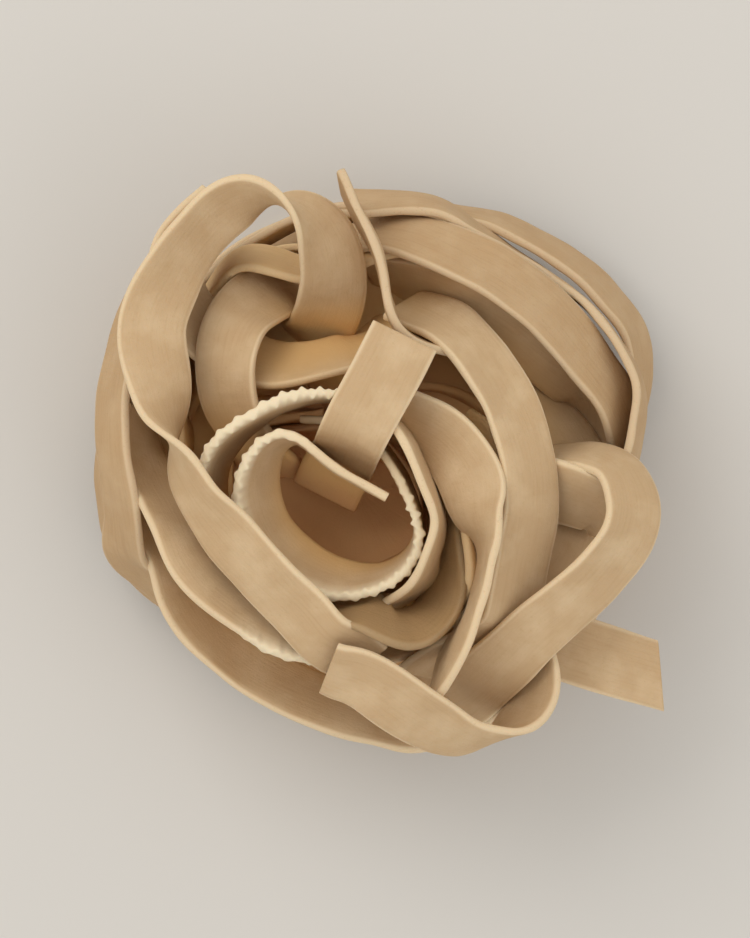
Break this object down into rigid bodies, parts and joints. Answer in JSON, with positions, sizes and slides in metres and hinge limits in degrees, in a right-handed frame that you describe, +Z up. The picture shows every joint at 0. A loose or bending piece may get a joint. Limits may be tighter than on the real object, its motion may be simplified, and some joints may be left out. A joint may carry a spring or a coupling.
{
  "type": "dry pasta nest",
  "caption": "Nest of dry tagliatelle: a flat egg-pasta ribbon wound into a tangled coil round a blind eye, with a loop at the crown and one free end.",
  "frame": {"origin": "middle of the flat underside that the nest rests on", "axes": "+Z up out of the eye, so the shown swirl faces up; +X and +Y are the picture's right and up, with the crown loop towards +Y and -X and the free end towards +X and -Y"},
  "size_m": [0.0681, 0.0682, 0.0368],
  "materials": {
    "dry_pasta": "dry egg pasta, pale straw, matt and slightly floury, faintly translucent at the edges"
  },
  "bodies": {
    "root": {"pasta_nest": "dry_pasta"}
  },
  "joints": []
}
